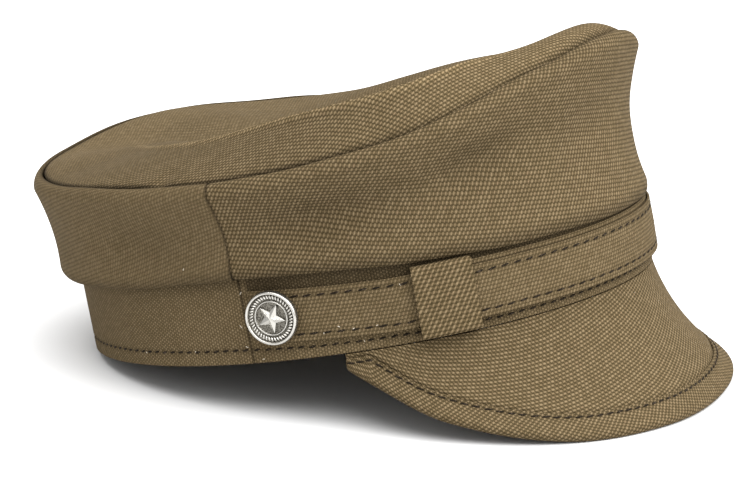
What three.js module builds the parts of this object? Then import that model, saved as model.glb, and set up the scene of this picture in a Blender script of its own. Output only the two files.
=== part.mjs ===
// A soft peaked cap sewn from heavy cotton canvas, lying on a table as it rests by itself.
// Millimetres, +Z up. The peak points along -Y and the wearer's right side along -X.
// The origin is on the table, in the middle of the cap's outline seen from above.

import * as THREE from 'three';
import { mergeVertices } from 'three/addons/utils/BufferGeometryUtils.js';

// The band is an upright oval ring, cut on its outer face to these half axes.
const BAND_HALF_WIDTH = 85.6;
const BAND_HALF_LENGTH = 104.3;
const BAND_HEIGHT = 31;
const CANVAS = 2.2;

// Pieces that are sewn or laid together keep this gap.
const GAP = 0.3;

// Angles round the head are in degrees, 0 at the front and growing towards the wearer's right.
const SIDE_SEAM = 94;
const CROWN_STEP = 5;
const BAND_STEP = 6;

// The crown at twelve places round the head, lengths in mm.
// low: height of the crown's lower edge above the band's rim; lowOut: how far that roll hangs out;
// waist: how far the side panel sinks in half way up; rimOut: reach of the upper roll;
// rim: height of the top seam; puff: rise of the top panel inside the seam;
// ridge: where that rise peaks, as a part of the way from the middle to the seam.
const CROWN = [
  { at: -150, low: 28.4, lowOut: 6.2, waist: 0.8, rimOut: 10.2, rim: 71.4, puff: 2.0, ridge: 0.68 },
  { at: -120, low: 28.0, lowOut: 5.2, waist: 0.9, rimOut: 10.1, rim: 65.8, puff: 1.0, ridge: 0.56 },
  { at: -90, low: 29.2, lowOut: 3.9, waist: 1.2, rimOut: 9.8, rim: 60.2, puff: 9.6, ridge: 0.71 },
  { at: -60, low: 26.6, lowOut: 3.1, waist: 1.8, rimOut: 9.6, rim: 67.7, puff: 7.8, ridge: 0.73 },
  { at: -30, low: 24.6, lowOut: 2.6, waist: 2.5, rimOut: 9.2, rim: 74.2, puff: 1.1, ridge: 0.77 },
  { at: 0, low: 24.0, lowOut: 2.8, waist: 3.6, rimOut: 6.3, rim: 83.8, puff: 5.3, ridge: 0.92 },
  { at: 30, low: 24.9, lowOut: 2.8, waist: 2.5, rimOut: 7.4, rim: 80.1, puff: 8.9, ridge: 0.89 },
  { at: 60, low: 26.6, lowOut: 3.2, waist: 1.9, rimOut: 10.3, rim: 68.6, puff: 15.7, ridge: 0.91 },
  { at: 90, low: 29.5, lowOut: 3.9, waist: 1.4, rimOut: 9.8, rim: 63.5, puff: 14.0, ridge: 0.76 },
  { at: 120, low: 28.0, lowOut: 5.6, waist: 1.0, rimOut: 10.4, rim: 64.6, puff: 9.7, ridge: 0.66 },
  { at: 150, low: 28.3, lowOut: 6.7, waist: 0.8, rimOut: 10.3, rim: 65.3, puff: 7.2, ridge: 0.58 },
  { at: 180, low: 28.3, lowOut: 6.5, waist: 0.8, rimOut: 10.5, rim: 68.1, puff: 0.8, ridge: 0.61 },
];
const CROWN_MIDDLE = 59.6;
const LOWER_ROLL = 4;
const UPPER_ROLL = 4;

// The peak at places from its middle line to its corner. reach: length down the slope;
// slope: steepness in degrees below level, as the straight line from the band to the edge.
const PEAK = [
  { at: 0, reach: 50.0, slope: 64.5 },
  { at: 20, reach: 49.0, slope: 62.5 },
  { at: 40, reach: 43.4, slope: 61.5 },
  { at: 60, reach: 27.3, slope: 61.5 },
  { at: 72, reach: 10.4, slope: 61 },
  { at: 76, reach: 4.8, slope: 60 },
];
const PEAK_CORNER = 76;
const PEAK_FLARE = 36;
const PEAK_THICK = 3.8;
const BINDING_WIDTH = 9.5;
const BINDING_CANVAS = 0.8;
const BINDING_INSET = 1.6;

// The board is as thick as this, sunk a little below the binding's face.
const BOARD_THICK = 2.4;
const BOARD_SUNK = 0.3;

// Chin straps, one from each button, lie over each other across the front.
const STRAP_WIDTH = 18;
const STRAP_THICK = 1.0;
const STRAP_HEIGHT = 12.8;
const STRAP_RISE = 3.0;
const UNDER_STRAP_LIFT = 1.7;
const STRAP_TAIL = 92.3;

// Cloth keepers hold the straps together a little in front of each button.
const KEEPER_AT = 55.5;
const KEEPER_WIDTH = 19.6;
const KEEPER_BOTTOM = 0.9;
const KEEPER_TOP = 25.4;
const KEEPER_WALL = 1.0;
const KEEPER_CORNER = 1.3;
const KEEPER_RADIUS = 98.5;

// Cast buttons with a beaded rim and a five-pointed star.
const BUTTON_AT = 87.9;
const BUTTON_UP = 15.7;
const BUTTON_RADIUS = 9.3;
const BUTTON_THICK = 3.4;
const STAR_RADIUS = 5.1;
const STAR_VALLEY = 0.44;
const STAR_TURN = 40;

const canvas = new THREE.MeshStandardMaterial({ color: 0x7f7056, roughness: 0.95, metalness: 0 });
const peakCanvas = new THREE.MeshStandardMaterial({ color: 0x87765b, roughness: 0.95, metalness: 0 });
const metal = new THREE.MeshStandardMaterial({ color: 0xa9a9a4, roughness: 0.35, metalness: 0.9 });

const radians = THREE.MathUtils.degToRad;
const mix = THREE.MathUtils.lerp;

// A point on the band's outer face at an angle, moved outwards and up.
function round(angle, out, up) {
  const a = radians(angle);
  const normal = new THREE.Vector2(-Math.sin(a) / BAND_HALF_WIDTH, -Math.cos(a) / BAND_HALF_LENGTH).normalize();
  const x = -BAND_HALF_WIDTH * Math.sin(a) + normal.x * out;
  const y = -BAND_HALF_LENGTH * Math.cos(a) + normal.y * out;
  return new THREE.Vector3(x, y, up);
}

// One column of a table at any place between its rows, as a smooth curve through them.
function readTable(rows, column, at) {
  const last = rows.length - 1;
  const found = rows.findIndex((row) => row.at > at);
  const next = found < 0 ? last : Math.max(found, 1);
  const near = [next - 2, next - 1, next, next + 1].map((i) => rows[THREE.MathUtils.clamp(i, 0, last)]);
  const slope = (a, b) => (near[b][column] - near[a][column]) / (near[b].at - near[a].at);
  const width = near[2].at - near[1].at;
  const t = (at - near[1].at) / width;
  const rise = near[2][column] - near[1][column];
  const start = slope(0, 2) * width;
  const end = slope(1, 3) * width;
  const bend = 3 * rise - 2 * start - end;
  const twist = start + end - 2 * rise;
  return near[1][column] + t * (start + t * (bend + t * twist));
}

// The crown's table goes on past its ends, because it runs all the way round the head.
const turned = (rows, by) => rows.map((row) => ({ ...row, at: row.at + by }));
const crownRows = [...turned(CROWN.slice(-2), -360), ...CROWN, ...turned(CROWN.slice(0, 2), 360)];

function crownAt(column, angle) {
  const wrapped = THREE.MathUtils.euclideanModulo(angle + 180, 360) - 180;
  return readTable(crownRows, column, wrapped);
}

// The peak is the same on both sides of its middle line.
const peakMirror = PEAK.slice(1).map((row) => ({ ...row, at: -row.at }));
const peakRows = [...peakMirror.reverse(), ...PEAK];
const peakAt = (column, angle) => readTable(peakRows, column, angle);

// Evenly spaced stations from one angle to another.
function stations(from, to, step) {
  const count = Math.ceil(Math.abs(to - from) / step);
  return Array.from({ length: count + 1 }, (_, i) => mix(from, to, i / count));
}

// Faces that close one end of a swept body. The outline's second half runs back beside its
// first half, so facing points are joined. An outline of another form is cut into ears.
function endFaces(loop, paired) {
  const last = loop.length - 1;
  if (!paired) {
    const leftward = THREE.ShapeUtils.area(loop) > 0;
    const ears = THREE.ShapeUtils.triangulateShape(loop, []);
    return ears.map(([a, b, c]) => (leftward ? [a, b, c] : [c, b, a]));
  }
  const pairs = Array.from({ length: loop.length / 2 - 1 }, (_, i) => i);
  return pairs.flatMap((i) => [[i, i + 1, last - i - 1], [i, last - i - 1, last - i]]);
}

// A closed body swept through stations. section gives one closed outline as 2-D points, with
// the same number of points at each station, and place puts one of them in space.
function sweep(list, section, place, { ring = false, paired = true } = {}) {
  const loops = list.map((station) => section(station));
  const count = loops[0].length;
  const points = loops.flatMap((loop, i) => loop.map((p) => place(list[i], p)));
  const faces = [];
  const spans = ring ? list.length : list.length - 1;
  for (let i = 0; i < spans; i += 1) {
    const here = i * count;
    const next = ((i + 1) % list.length) * count;
    for (let j = 0; j < count; j += 1) {
      const k = (j + 1) % count;
      faces.push([here + j, next + j, next + k], [here + j, next + k, here + k]);
    }
  }
  if (!ring) {
    const end = (list.length - 1) * count;
    faces.push(...endFaces(loops[0], paired));
    faces.push(...endFaces(loops.at(-1), paired).map(([a, b, c]) => [end + c, end + b, end + a]));
  }
  return body(points, faces);
}

// Faces that shrink to a line at a pole are dropped, and all faces are made to point out.
function body(points, faces) {
  const solid = faces.filter(([a, b, c]) => {
    const edge = new THREE.Vector3().subVectors(points[b], points[a]);
    const other = new THREE.Vector3().subVectors(points[c], points[a]);
    return edge.cross(other).length() > 1e-6;
  });
  const volume = solid.reduce((sum, [a, b, c]) => {
    const across = new THREE.Vector3().crossVectors(points[b], points[c]);
    return sum + points[a].dot(across);
  }, 0);
  const ordered = volume > 0 ? solid : solid.map(([a, b, c]) => [a, c, b]);
  const geometry = new THREE.BufferGeometry().setFromPoints(points);
  geometry.setIndex(ordered.flat());
  const welded = mergeVertices(geometry, 1e-4);
  welded.computeVertexNormals();
  return welded;
}

function piece(name, geometry, material) {
  const mesh = new THREE.Mesh(geometry, material);
  mesh.name = name;
  return mesh;
}

const flat = (out, up) => new THREE.Vector2(out, up);
const upright = (angle, p) => round(angle, p.x, p.y);

// The band is a plain upright wall. Its lower rim is flat.
function bandSection() {
  return [flat(0, 0), flat(0, BAND_HEIGHT), flat(-CANVAS, BAND_HEIGHT), flat(-CANVAS, 0)];
}

// The outer face of the crown's side panel: up the side, then the quarter roll into the top seam.
function crownSide(angle, share) {
  const low = crownAt('low', angle) + LOWER_ROLL;
  const high = crownAt('rim', angle) - UPPER_ROLL;
  const lean = mix(crownAt('lowOut', angle), crownAt('rimOut', angle), share ** 1.6);
  const out = lean - crownAt('waist', angle) * Math.sin(Math.PI * share);
  return flat(out, mix(low, high, share));
}

function crownRoll(angle, share) {
  const turn = share * Math.PI * 0.6;
  const inwards = UPPER_ROLL * (1 - Math.cos(turn)) / (1 - Math.cos(Math.PI * 0.6));
  const up = crownAt('rim', angle) - UPPER_ROLL + 1.05 * UPPER_ROLL * Math.sin(turn);
  return flat(crownAt('rimOut', angle) - inwards, up);
}

// Points of a chain moved sideways by a distance, to the left of the way the chain runs.
function beside(chain, distance) {
  return chain.map((point, i) => {
    const before = chain[Math.max(i - 1, 0)];
    const after = chain[Math.min(i + 1, chain.length - 1)];
    const along = new THREE.Vector2().subVectors(after, before).normalize();
    return flat(point.x - along.y * distance, point.y + along.x * distance);
  });
}

// The side panel is sewn to the band's top edge, hangs over it as a soft roll, rises with a
// slight waist and rolls over into the top seam.
function crownSideSection(angle) {
  const low = crownAt('low', angle);
  const lowOut = crownAt('lowOut', angle);
  const lip = [flat(GAP, low + 1), flat(lowOut * 0.5, low), flat(lowOut * 0.9, low + 1.2)];
  const wall = [0, 0.2, 0.4, 0.6, 0.8, 1].map((share) => crownSide(angle, share));
  const roll = [0.3, 0.55, 0.8, 1].map((share) => crownRoll(angle, share));
  const face = [...wall, ...roll];
  const lining = beside(face, CANVAS);
  lining[0] = flat(lowOut - CANVAS, BAND_HEIGHT + LOWER_ROLL);
  lining[lining.length - 1] = flat(crownRoll(angle, 1).x, crownRoll(angle, 1).y - CANVAS);
  const seat = [flat(-CANVAS + GAP, BAND_HEIGHT + 1.4), flat(-CANVAS + GAP, BAND_HEIGHT + GAP)];
  return [...lip, ...face, ...lining.reverse(), ...seat, flat(GAP, BAND_HEIGHT + GAP)];
}

// The top panel rises from the seam to a soft ridge and sinks to a shallow dish in the middle.
// way runs from 0 at the seam through 1 at the ridge to 2 in the middle.
function crownTopPoint(angle, way) {
  const ridge = crownAt('ridge', angle);
  const up = Math.min(way, 1) * Math.PI / 2;
  const share = way < 1 ? ridge + (1 - ridge) * (1 - Math.sin(up)) : ridge * (2 - way);
  const rise = way < 1 ? Math.sin(Math.acos(1 - Math.sin(up))) : (2 - way) ** 2 * (1 + 2 * (way - 1));
  const seam = round(angle, crownAt('rimOut', angle) - UPPER_ROLL - GAP, 0).multiplyScalar(share);
  seam.z = mix(CROWN_MIDDLE, crownAt('rim', angle), share) + crownAt('puff', angle) * rise;
  return seam;
}

function crownTopSection(angle) {
  const ways = [0, 0.12, 0.28, 0.5, 0.75, 1, 1.15, 1.35, 1.6, 1.8, 2];
  const face = ways.map((way) => crownTopPoint(angle, way));
  const reach = face.map((p) => flat(Math.hypot(p.x, p.y), p.z));
  const under = beside(reach, CANVAS).map((p, i) => flat(i === ways.length - 1 ? 0 : p.x, p.y));
  under[0] = flat(reach[0].x - CANVAS, reach[0].y - CANVAS);
  under[under.length - 1].y = CROWN_MIDDLE - CANVAS;
  return [...reach, ...under.reverse()];
}

// A point at a level distance from the middle, in the direction of the top seam at this angle.
function fromMiddle(angle, p) {
  const seam = round(angle, crownAt('rimOut', angle) - UPPER_ROLL - GAP, 0).normalize();
  return seam.multiplyScalar(p.x).setZ(p.y);
}

// The peak's upper face, by the length down the slope from the band.
function peakFace(angle, length) {
  const reach = peakAt('reach', angle);
  const slope = radians(peakAt('slope', angle) + PEAK_FLARE * (1 - length / reach) / 2);
  return flat(length * Math.cos(slope), -GAP - length * Math.sin(slope));
}

function peakChain(angle, from, to, count) {
  return Array.from({ length: count }, (_, i) => peakFace(angle, mix(from, to, i / (count - 1))));
}

// The binding's inner edge runs into the band near the peak's corners.
function bindingStart(angle) {
  return Math.max(peakAt('reach', angle) - BINDING_WIDTH, BINDING_INSET);
}

// The peak's stiff board in its cover. It thins to a tongue where the binding wraps it.
function peakSection(angle) {
  const edge = peakAt('reach', angle) - PEAK_THICK / 2;
  const binding = bindingStart(angle);
  const open = peakChain(angle, 0, binding - 1, 4);
  const tongue = peakChain(angle, binding - GAP, edge, 4);
  const sunk = BINDING_CANVAS + GAP;
  const cover = [...beside(open, -BOARD_SUNK), ...beside(tongue, -sunk)];
  const under = [...beside(open, -BOARD_SUNK - BOARD_THICK), ...beside(tongue, sunk - PEAK_THICK)];
  return [...cover, ...under.reverse()];
}

// The binding is one strip of canvas folded round the peak's edge.
function bindingSection(angle) {
  const reach = peakAt('reach', angle);
  const half = PEAK_THICK / 2;
  const face = peakChain(angle, bindingStart(angle), reach - half, 5);
  const folded = (skin) => {
    const top = beside(face, -skin);
    const bottom = beside(face, skin - PEAK_THICK).reverse();
    const tip = beside(face, -half)[face.length - 1];
    const along = new THREE.Vector2().subVectors(face[4], face[3]).normalize();
    const bow = [-0.6, 0, 0.6].map((side) => {
      const forward = (half - skin) * Math.sqrt(1 - side * side);
      const across = (half - skin) * side;
      return flat(tip.x + along.x * forward + along.y * across, tip.y + along.y * forward - along.x * across);
    });
    return [...top, ...bow, ...bottom];
  };
  return [...folded(0), ...folded(BINDING_CANVAS).reverse()];
}

// Height of the straps' middle line. They climb from the front to the buttons.
function strapHeight(angle) {
  return STRAP_HEIGHT + STRAP_RISE * Math.abs(angle / 90) ** 3;
}

// The straps lift off the band where they pass through a keeper.
function keeperLift(angle) {
  const away = Math.abs(Math.abs(angle) - KEEPER_AT);
  return (KEEPER_WALL + GAP) * (1 - THREE.MathUtils.smoothstep(away, 7, 17));
}

function strapSection(angle, out, up) {
  const middle = strapHeight(angle) + up;
  const near = GAP + out + keeperLift(angle);
  const low = middle - STRAP_WIDTH / 2;
  const high = middle + STRAP_WIDTH / 2;
  return [flat(near, low), flat(near + STRAP_THICK, low), flat(near + STRAP_THICK, high), flat(near, high)];
}

// The right strap starts under the right button and lies against the band all the way.
// Between the keepers it sits a little higher than the strap on top of it.
function rightStrapSection(angle) {
  const high = THREE.MathUtils.smoothstep(KEEPER_AT + 12 - angle, 0, 20);
  return strapSection(angle, 0, UNDER_STRAP_LIFT * high);
}

// The left strap lies on the right one and drops to the band past the left keeper.
function leftStrapSection(angle) {
  const over = THREE.MathUtils.smoothstep(angle, -KEEPER_AT - 20, -KEEPER_AT - 9);
  return strapSection(angle, over * (STRAP_THICK + GAP), 0);
}

// A keeper is a flat sleeve with rounded corners. Its stations run round the sleeve, and its
// section lies along the band, one row of points on each face of the cloth.
function keeper(side) {
  const depth = 2 * (KEEPER_WALL + STRAP_THICK) + 3 * GAP;
  const tall = KEEPER_TOP - KEEPER_BOTTOM;
  const corners = [[1, 1], [-1, 1], [-1, -1], [1, -1]];
  const bends = [0, 30, 60, 90];
  const turns = corners.flatMap((_, corner) => bends.map((bend) => ({ corner, bend })));
  const along = [-0.5, 0, 0.5].map((share) => share * THREE.MathUtils.radToDeg(KEEPER_WIDTH / KEEPER_RADIUS));
  const section = () => [...along.map((a) => flat(a, 0)), ...along.toReversed().map((a) => flat(a, 1))];
  const place = ({ corner, bend }, p) => {
    const [right, up] = corners[corner];
    const turn = radians(corner * 90 + bend);
    const bow = KEEPER_CORNER - p.y * KEEPER_WALL;
    const out = right * (depth / 2 - KEEPER_CORNER) + bow * Math.cos(turn);
    const height = up * (tall / 2 - KEEPER_CORNER) + bow * Math.sin(turn);
    return round(side * KEEPER_AT + p.x, GAP + depth / 2 + out, KEEPER_BOTTOM + tall / 2 + height);
  };
  return sweep(turns, section, place, { ring: true });
}

// Reach of a five-pointed star's outline at an angle from its first point.
function starReach(turn) {
  const fold = radians(Math.abs(THREE.MathUtils.euclideanModulo(turn + 36, 72) - 36));
  const tip = flat(STAR_RADIUS, 0);
  const notch = flat(Math.cos(Math.PI / 5), Math.sin(Math.PI / 5)).multiplyScalar(STAR_RADIUS * STAR_VALLEY);
  const run = notch.clone().sub(tip);
  const share = Math.tan(fold) * tip.x / (run.y - Math.tan(fold) * run.x);
  return tip.addScaledVector(run, share).length();
}

// Half of a cut through the button: reach from its axis and height above its back.
function buttonSection(turn) {
  const star = starReach(turn);
  return [
    flat(0, 0),
    flat(BUTTON_RADIUS - 0.8, 0),
    flat(BUTTON_RADIUS, 1.2),
    flat(BUTTON_RADIUS - 0.3, 2.4),
    flat(BUTTON_RADIUS - 1.2, 2.9),
    flat(BUTTON_RADIUS - 2.1, 2.5),
    flat(BUTTON_RADIUS - 2.5, 1.7),
    flat(star + 0.15, 1.6),
    flat(star, 2.0),
    flat(0, BUTTON_THICK),
  ];
}

function button(side) {
  const turns = stations(0, 342, 18);
  const place = (turn, p) => {
    const a = radians(turn);
    return new THREE.Vector3(p.x * Math.cos(a), p.x * Math.sin(a), p.y);
  };
  const geometry = sweep(turns, buttonSection, place, { ring: true });
  const seat = round(side * BUTTON_AT, 2 * GAP + STRAP_THICK, BUTTON_UP);
  const ahead = round(side * BUTTON_AT, 100, BUTTON_UP);
  const facing = new THREE.Matrix4().lookAt(ahead, seat, new THREE.Vector3(0, 0, 1));
  const spin = new THREE.Matrix4().makeRotationZ(radians(90 + STAR_TURN));
  geometry.applyMatrix4(spin).applyMatrix4(facing);
  return geometry.translate(seat.x, seat.y, seat.z);
}

// The cap stands on the band's rim at the back and on the peak's edge at both sides.
// The tilt that puts both on the table is found by halving.
function restTilt(edge) {
  let low = 0;
  let high = radians(25);
  for (let i = 0; i < 40; i += 1) {
    const tilt = (low + high) / 2;
    const height = (y, z) => z * Math.cos(tilt) - y * Math.sin(tilt);
    const peakLowest = Math.min(...edge.map((p) => height(p.y, p.z)));
    const peakTouches = peakLowest < height(BAND_HALF_LENGTH, 0);
    low = peakTouches ? tilt : low;
    high = peakTouches ? high : tilt;
  }
  return low;
}

const frontAngles = (step) => stations(-SIDE_SEAM + 0.1, SIDE_SEAM - 0.1, step);
const backAngles = (step) => stations(SIDE_SEAM + 0.1, 360 - SIDE_SEAM - 0.1, step);
const peakAngles = stations(-PEAK_CORNER, PEAK_CORNER, 4);
const roundAngles = stations(0, 360, 7.5).slice(0, -1);

const crownTop = sweep(roundAngles, crownTopSection, fromMiddle, { ring: true });
const crownSideFront = sweep(frontAngles(CROWN_STEP), crownSideSection, upright, { paired: false });
const crownSideBack = sweep(backAngles(CROWN_STEP), crownSideSection, upright, { paired: false });
const bandFront = sweep(frontAngles(BAND_STEP), bandSection, upright);
const bandBack = sweep(backAngles(BAND_STEP), bandSection, upright);
const peak = sweep(peakAngles, peakSection, upright);
const binding = sweep(peakAngles, bindingSection, upright);
const strapRight = sweep(stations(STRAP_TAIL, -KEEPER_AT - 5, 4), rightStrapSection, upright);
const strapLeft = sweep(stations(-STRAP_TAIL, KEEPER_AT + 5, 4), leftStrapSection, upright);

const cap = new THREE.Group();
cap.add(
  piece('crown_top', crownTop, canvas),
  piece('crown_side_front', crownSideFront, canvas),
  piece('crown_side_back', crownSideBack, canvas),
  piece('band_front', bandFront, canvas),
  piece('band_back', bandBack, canvas),
  piece('peak', peak, peakCanvas),
  piece('peak_binding', binding, peakCanvas),
  piece('strap_right', strapRight, canvas),
  piece('strap_left', strapLeft, canvas),
  piece('keeper_right', keeper(1), canvas),
  piece('keeper_left', keeper(-1), canvas),
  piece('button_right', button(1), metal),
  piece('button_left', button(-1), metal),
);

const bindingPoints = binding.getAttribute('position');
const edge = Array.from({ length: bindingPoints.count }, (_, i) => new THREE.Vector3().fromBufferAttribute(bindingPoints, i));
cap.rotation.x = -restTilt(edge);
cap.updateMatrixWorld(true);
const box = new THREE.Box3().setFromObject(cap, true);
const centre = box.getCenter(new THREE.Vector3());
cap.position.set(-centre.x, -centre.y, -box.min.z);

const part = new THREE.Group();
part.add(cap);

export default part;
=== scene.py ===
# A soft peaked cap of heavy cotton canvas, lying by itself on a pale table.
# Sizes are in millimetres in the upright cap and turn into metres where a piece is laid down.

import math
import random

import bmesh
import bpy
import numpy as np
from mathutils import Matrix, Vector


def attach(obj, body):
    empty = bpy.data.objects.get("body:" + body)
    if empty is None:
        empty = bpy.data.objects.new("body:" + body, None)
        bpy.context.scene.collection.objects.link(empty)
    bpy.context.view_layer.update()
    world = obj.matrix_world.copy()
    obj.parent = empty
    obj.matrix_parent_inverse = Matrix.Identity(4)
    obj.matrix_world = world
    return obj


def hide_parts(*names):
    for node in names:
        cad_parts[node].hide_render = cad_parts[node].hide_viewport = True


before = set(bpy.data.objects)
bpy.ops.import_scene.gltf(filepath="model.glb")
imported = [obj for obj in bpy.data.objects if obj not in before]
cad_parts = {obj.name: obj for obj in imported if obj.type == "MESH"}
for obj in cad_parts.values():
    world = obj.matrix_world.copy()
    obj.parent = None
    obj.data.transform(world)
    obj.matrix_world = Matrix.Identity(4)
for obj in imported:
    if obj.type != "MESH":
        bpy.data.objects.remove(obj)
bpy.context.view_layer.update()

# The table, the light and the camera.
# The cap lies on a pale table in a bright photographer's tent. A wide soft sky of light hangs over
# its front and one box stands before it, so its sides and the hollow under it stay darker.
MM = 0.001
TABLE_SIZE = 6.0
TABLE_PALE = (0.7, 0.7, 0.7, 1)
TENT_LIGHT = 0.88
SKY_POWER = 5.8
SKY_WIDTH = 80
SKY_PLACE = (-0.15, -0.35, 1.5)
BOX_SIZE = 0.9
BOX_POWER = 16
BOX_PLACE = (-0.3, -1.4, 0.8)
LOOK_AT = Vector((0.005, 1.353, 43.16)) * MM
CAMERA_TURN = 21.93
CAMERA_RISE = 14.52
CAMERA_LEAN = 0.26
CAMERA_DISTANCE = 1.0
LENS = 133.67
SENSOR = 36


def new_object(name, shape):
    """Turns a finished bmesh into an object of the scene."""
    mesh = bpy.data.meshes.new(name)
    shape.to_mesh(mesh)
    shape.free()
    piece = bpy.data.objects.new(name, mesh)
    bpy.context.collection.objects.link(piece)
    return piece


def new_material(name):
    """A new material, its node tree and its shader."""
    material = bpy.data.materials.new(name)
    material.use_nodes = True
    return material, material.node_tree, material.node_tree.nodes["Principled BSDF"]


ground = bmesh.new()
bmesh.ops.create_grid(ground, x_segments=1, y_segments=1, size=TABLE_SIZE / 2)
table = new_object("table", ground)
table_paint, _, table_shader = new_material("pale_table")
table_shader.inputs["Base Color"].default_value = TABLE_PALE
table_shader.inputs["Roughness"].default_value = 0.7
table.data.materials.append(table_paint)

world = bpy.data.worlds.new("tent")
world.use_nodes = True
world.node_tree.nodes["Background"].inputs["Color"].default_value = (1, 1, 1, 1)
world.node_tree.nodes["Background"].inputs["Strength"].default_value = TENT_LIGHT
bpy.context.scene.world = world
bpy.context.scene.view_settings.view_transform = "Standard"


def place_light(name, light, place):
    """Sets a light at a place, turned to face the cap."""
    lamp = bpy.data.objects.new(name, light)
    lamp.location = place
    lamp.rotation_euler = (LOOK_AT - Vector(place)).to_track_quat("-Z", "Y").to_euler()
    bpy.context.collection.objects.link(lamp)


sky = bpy.data.lights.new("soft_sky", "SUN")
sky.energy = SKY_POWER
sky.angle = math.radians(SKY_WIDTH)
place_light("soft_sky", sky, SKY_PLACE)
box = bpy.data.lights.new("front_box", "AREA")
box.size = BOX_SIZE
box.energy = BOX_POWER
place_light("front_box", box, BOX_PLACE)

camera = bpy.data.objects.new("camera", bpy.data.cameras.new("camera"))
camera.data.sensor_width = SENSOR
camera.data.lens = LENS
turn, rise = math.radians(CAMERA_TURN), math.radians(CAMERA_RISE)
back = Vector((-math.cos(turn) * math.cos(rise), -math.sin(turn) * math.cos(rise), math.sin(rise)))
camera.location = LOOK_AT + back * CAMERA_DISTANCE
lean = Matrix.Rotation(math.radians(CAMERA_LEAN), 3, "Z")
camera.rotation_euler = (back.to_track_quat("Z", "Y").to_matrix() @ lean).to_euler()
bpy.context.collection.objects.link(camera)
bpy.context.scene.camera = camera


# The band.
# An upright oval wall of canvas in a front and a back length, seamed behind each button. Its
# lower edge is folded under and topstitched all round, and the crown is sewn to its upper edge.
HALF_WIDTH = 85.6
HALF_LENGTH = 104.3
BAND_HEIGHT = 31
WALL = 2.2
GAP = 0.3
SIDE_SEAM = 94
REST_TILT = 11.71
REST_PLACE = (0.005, 3.103, 21.169)
BAND_ROWS = 36
BAND_EDGE = 0.35
GRID = 0.9


def smooth(x, y, at):
    """A smooth curve through the points x, y, read at places between them."""
    after = np.clip(np.searchsorted(x, at, side="right"), 1, len(x) - 1)
    first, here, there, last = (np.clip(after + shift, 0, len(x) - 1) for shift in (-2, -1, 0, 1))
    width = x[there] - x[here]
    t = (at - x[here]) / width
    start = (y[there] - y[first]) / (x[there] - x[first]) * width
    end = (y[last] - y[here]) / (x[last] - x[here]) * width
    step = y[there] - y[here]
    return y[here] + t * (start + t * (3 * step - 2 * start - end + t * (start + end - 2 * step)))


def fade(value, low, high):
    """Runs smoothly from 0 at low to 1 at high."""
    share = np.clip((value - low) / (high - low), 0, 1)
    return share * share * (3 - 2 * share)


def from_front(angle):
    """The same angle as a turn from the front, between -180 and 180 degrees."""
    return (np.asarray(angle) + 180) % 360 - 180


def around(angle, out, up):
    """Points beside the band's outer face, at an angle round the head, further out and up."""
    turned = np.radians(angle)
    across, ahead = np.sin(turned) / HALF_WIDTH, np.cos(turned) / HALF_LENGTH
    reach = np.hypot(across, ahead)
    x = -HALF_WIDTH * np.sin(turned) - across / reach * out
    y = -HALF_LENGTH * np.cos(turned) - ahead / reach * out
    return np.stack(np.broadcast_arrays(x, y, up), axis=-1)


def lay_down(points):
    """From the upright cap in millimetres to the cap as it lies on the table, in metres."""
    tilt = math.radians(REST_TILT)
    x, y, z = points[..., 0], points[..., 1], points[..., 2]
    level = y * math.cos(tilt) + z * math.sin(tilt)
    height = z * math.cos(tilt) - y * math.sin(tilt)
    return (np.stack((x, level, height), axis=-1) + REST_PLACE) * MM


def evenly(chain, count):
    """The same chain of points, with count points at even steps along it."""
    steps = np.hypot(*np.diff(chain, axis=0).T)
    length = np.concatenate(((0,), np.cumsum(steps)))
    at = np.linspace(0, length[-1], count)
    return np.stack([np.interp(at, length, side) for side in chain.T], axis=-1)


def normals_of(points):
    """The way that a grid of points faces, at each point."""
    along, upward = np.gradient(points, axis=0), np.gradient(points, axis=1)
    facing = np.cross(along, upward)
    return facing / np.maximum(np.linalg.norm(facing, axis=-1, keepdims=True), 1e-12)


def travelled(points, axis):
    """How far each point of a grid is from its first row or column, along the cloth."""
    steps = np.linalg.norm(np.diff(points, axis=axis), axis=-1)
    start = np.zeros_like(np.take(steps, [0], axis=axis))
    return np.concatenate((start, np.cumsum(steps, axis=axis)), axis=axis)


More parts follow.
